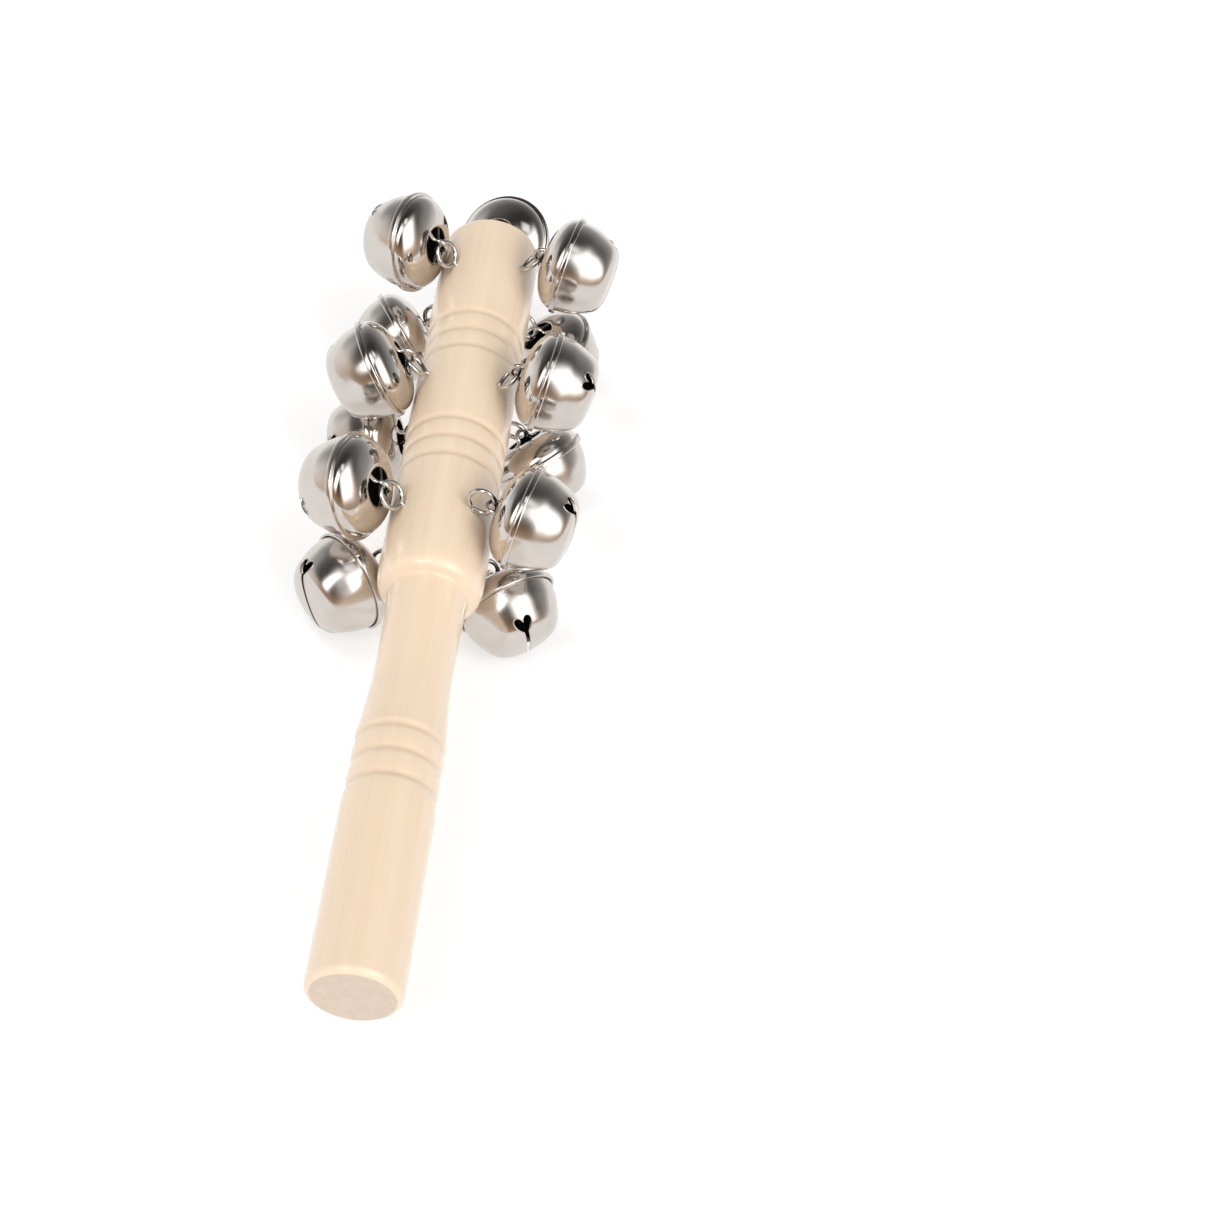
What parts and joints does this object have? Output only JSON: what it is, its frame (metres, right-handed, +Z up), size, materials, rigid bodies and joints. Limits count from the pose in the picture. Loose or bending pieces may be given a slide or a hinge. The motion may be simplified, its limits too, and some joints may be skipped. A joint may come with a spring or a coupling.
{
  "type": "jingle stick with sleigh bells",
  "caption": "Turned wooden handle with a grooved barrel, rows of round slotted metal bells hung from screw eyes, and one more bell on the end.",
  "frame": {"origin": "centre of the bounding box, at the height of the surface the stick lies on", "axes": "+Y along the stick from the butt to the head, +Z up, +X to the right seen from the butt"},
  "size_m": [0.0684, 0.251, 0.0584],
  "materials": {
    "wood": "clear satin lacquer",
    "chrome": "polished plating",
    "steel": "plain bright wire and balls"
  },
  "bodies": {
    "handle_stick": {"stick": "wood", "screw_eye_front_upper_left": "steel", "screw_eye_front_upper_right": "steel", "screw_eye_front_lower_right": "steel", "screw_eye_front_lower_left": "steel", "screw_eye_middle_upper_left": "steel", "screw_eye_middle_upper_right": "steel", "screw_eye_middle_lower_right": "steel", "screw_eye_middle_lower_left": "steel", "screw_eye_tip_upper_left": "steel", "screw_eye_tip_upper_right": "steel", "screw_eye_tip_lower_right": "steel", "screw_eye_tip_lower_left": "steel", "screw_eye_end": "steel"},
    "bell_front_upper_left": {"bell_crown_front_upper_left": "chrome", "bell_cup_front_upper_left": "chrome"},
    "bell_front_upper_right": {"bell_crown_front_upper_right": "chrome", "bell_cup_front_upper_right": "chrome"},
    "bell_front_lower_right": {"bell_crown_front_lower_right": "chrome", "bell_cup_front_lower_right": "chrome"},
    "bell_front_lower_left": {"bell_crown_front_lower_left": "chrome", "bell_cup_front_lower_left": "chrome"},
    "bell_middle_upper_left": {"bell_crown_middle_upper_left": "chrome", "bell_cup_middle_upper_left": "chrome"},
    "bell_middle_upper_right": {"bell_crown_middle_upper_right": "chrome", "bell_cup_middle_upper_right": "chrome"},
    "bell_middle_lower_right": {"bell_crown_middle_lower_right": "chrome", "bell_cup_middle_lower_right": "chrome"},
    "bell_middle_lower_left": {"bell_crown_middle_lower_left": "chrome", "bell_cup_middle_lower_left": "chrome"},
    "bell_tip_upper_left": {"bell_crown_tip_upper_left": "chrome", "bell_cup_tip_upper_left": "chrome"},
    "bell_tip_upper_right": {"bell_crown_tip_upper_right": "chrome", "bell_cup_tip_upper_right": "chrome"},
    "bell_tip_lower_right": {"bell_crown_tip_lower_right": "chrome", "bell_cup_tip_lower_right": "chrome"},
    "bell_tip_lower_left": {"bell_crown_tip_lower_left": "chrome", "bell_cup_tip_lower_left": "chrome"},
    "bell_end": {"bell_crown_end": "chrome", "bell_cup_end": "chrome"},
    "pellet_body_front_upper_left": {"pellet_front_upper_left": "steel"},
    "pellet_body_front_upper_right": {"pellet_front_upper_right": "steel"},
    "pellet_body_front_lower_right": {"pellet_front_lower_right": "steel"},
    "pellet_body_front_lower_left": {"pellet_front_lower_left": "steel"},
    "pellet_body_middle_upper_left": {"pellet_middle_upper_left": "steel"},
    "pellet_body_middle_upper_right": {"pellet_middle_upper_right": "steel"},
    "pellet_body_middle_lower_right": {"pellet_middle_lower_right": "steel"},
    "pellet_body_middle_lower_left": {"pellet_middle_lower_left": "steel"},
    "pellet_body_tip_upper_left": {"pellet_tip_upper_left": "steel"},
    "pellet_body_tip_upper_right": {"pellet_tip_upper_right": "steel"},
    "pellet_body_tip_lower_right": {"pellet_tip_lower_right": "steel"},
    "pellet_body_tip_lower_left": {"pellet_tip_lower_left": "steel"},
    "pellet_body_end": {"pellet_end": "steel"}
  },
  "joints": [
    {"name": "swing_front_upper_left", "type": "hinge", "parent": "handle_stick", "child": "bell_front_upper_left", "pos_m": [-0.0143, -0.00046, 0.04067], "axis": [0.1549, 0.9642, 0.2152], "range_deg": [0, 75]},
    {"name": "swing_front_upper_right", "type": "hinge", "parent": "handle_stick", "child": "bell_front_upper_right", "pos_m": [0.00905, -0.00061, 0.04218], "axis": [-0.2066, -0.9747, 0.0853], "range_deg": [0, 75]},
    {"name": "swing_front_lower_right", "type": "hinge", "parent": "handle_stick", "child": "bell_front_lower_right", "pos_m": [0.01535, 0.00165, 0.01449], "axis": [0.6461, 0.2676, 0.7148], "range_deg": [0, 75]},
    {"name": "swing_front_lower_left", "type": "hinge", "parent": "handle_stick", "child": "bell_front_lower_left", "pos_m": [-0.01313, -0.00122, 0.01364], "axis": [0.5982, -0.5238, -0.6065], "range_deg": [0, 75]},
    {"name": "swing_middle_upper_left", "type": "hinge", "parent": "handle_stick", "child": "bell_middle_upper_left", "pos_m": [-0.01531, 0.04446, 0.04096], "axis": [-0.1846, 0.9572, -0.2227], "range_deg": [0, 75]},
    {"name": "swing_middle_upper_right", "type": "hinge", "parent": "handle_stick", "child": "bell_middle_upper_right", "pos_m": [0.01242, 0.0421, 0.04529], "axis": [-0.0999, -0.9943, 0.0381], "range_deg": [0, 75]},
    {"name": "swing_middle_lower_right", "type": "hinge", "parent": "handle_stick", "child": "bell_middle_lower_right", "pos_m": [0.01707, 0.04805, 0.01827], "axis": [-0.5445, 0.3031, -0.7821], "range_deg": [-60, 25]},
    {"name": "swing_middle_lower_left", "type": "hinge", "parent": "handle_stick", "child": "bell_middle_lower_left", "pos_m": [-0.0125, 0.04367, 0.01462], "axis": [0.129, -0.9802, -0.1505], "range_deg": [0, 75]},
    {"name": "swing_tip_upper_left", "type": "hinge", "parent": "handle_stick", "child": "bell_tip_upper_left", "pos_m": [-0.0129, 0.08353, 0.04508], "axis": [0.2489, 0.9303, 0.2696], "range_deg": [0, 75]},
    {"name": "swing_tip_upper_right", "type": "hinge", "parent": "handle_stick", "child": "bell_tip_upper_right", "pos_m": [0.01345, 0.0863, 0.04603], "axis": [-0.1791, -0.977, 0.1157], "range_deg": [0, 75]},
    {"name": "swing_tip_lower_right", "type": "hinge", "parent": "handle_stick", "child": "bell_tip_lower_right", "pos_m": [0.01603, 0.08807, 0.01829], "axis": [0.0554, 0.9932, 0.102], "range_deg": [0, 55]},
    {"name": "swing_tip_lower_left", "type": "hinge", "parent": "handle_stick", "child": "bell_tip_lower_left", "pos_m": [-0.01288, 0.08614, 0.01645], "axis": [0.6627, -0.3845, -0.6427], "range_deg": [0, 75]},
    {"name": "swing_end", "type": "hinge", "parent": "handle_stick", "child": "bell_end", "pos_m": [0.00075, 0.10887, 0.03162], "axis": [0.8829, -0.0164, 0.4692], "range_deg": [0, 75]},
    {"name": "rattle_front_upper_left", "type": "slide", "parent": "bell_front_upper_left", "child": "pellet_body_front_upper_left", "axis": [0, 0, 1], "range_m": [0, 0.012]},
    {"name": "rattle_front_upper_right", "type": "slide", "parent": "bell_front_upper_right", "child": "pellet_body_front_upper_right", "axis": [0, 0, 1], "range_m": [0, 0.012]},
    {"name": "rattle_front_lower_right", "type": "slide", "parent": "bell_front_lower_right", "child": "pellet_body_front_lower_right", "axis": [0, 0, 1], "range_m": [0, 0.012]},
    {"name": "rattle_front_lower_left", "type": "slide", "parent": "bell_front_lower_left", "child": "pellet_body_front_lower_left", "axis": [0, 0, 1], "range_m": [0, 0.012]},
    {"name": "rattle_middle_upper_left", "type": "slide", "parent": "bell_middle_upper_left", "child": "pellet_body_middle_upper_left", "axis": [0, 0, 1], "range_m": [0, 0.012]},
    {"name": "rattle_middle_upper_right", "type": "slide", "parent": "bell_middle_upper_right", "child": "pellet_body_middle_upper_right", "axis": [0, 0, 1], "range_m": [0, 0.012]},
    {"name": "rattle_middle_lower_right", "type": "slide", "parent": "bell_middle_lower_right", "child": "pellet_body_middle_lower_right", "axis": [0, 0, 1], "range_m": [0, 0.012]},
    {"name": "rattle_middle_lower_left", "type": "slide", "parent": "bell_middle_lower_left", "child": "pellet_body_middle_lower_left", "axis": [0, 0, 1], "range_m": [0, 0.012]},
    {"name": "rattle_tip_upper_left", "type": "slide", "parent": "bell_tip_upper_left", "child": "pellet_body_tip_upper_left", "axis": [0, 0, 1], "range_m": [0, 0.012]},
    {"name": "rattle_tip_upper_right", "type": "slide", "parent": "bell_tip_upper_right", "child": "pellet_body_tip_upper_right", "axis": [0, 0, 1], "range_m": [0, 0.012]},
    {"name": "rattle_tip_lower_right", "type": "slide", "parent": "bell_tip_lower_right", "child": "pellet_body_tip_lower_right", "axis": [0, 0, 1], "range_m": [0, 0.011]},
    {"name": "rattle_tip_lower_left", "type": "slide", "parent": "bell_tip_lower_left", "child": "pellet_body_tip_lower_left", "axis": [0, 0, 1], "range_m": [0, 0.012]},
    {"name": "rattle_end", "type": "slide", "parent": "bell_end", "child": "pellet_body_end", "axis": [0, 0, 1], "range_m": [0, 0.011]}
  ]
}
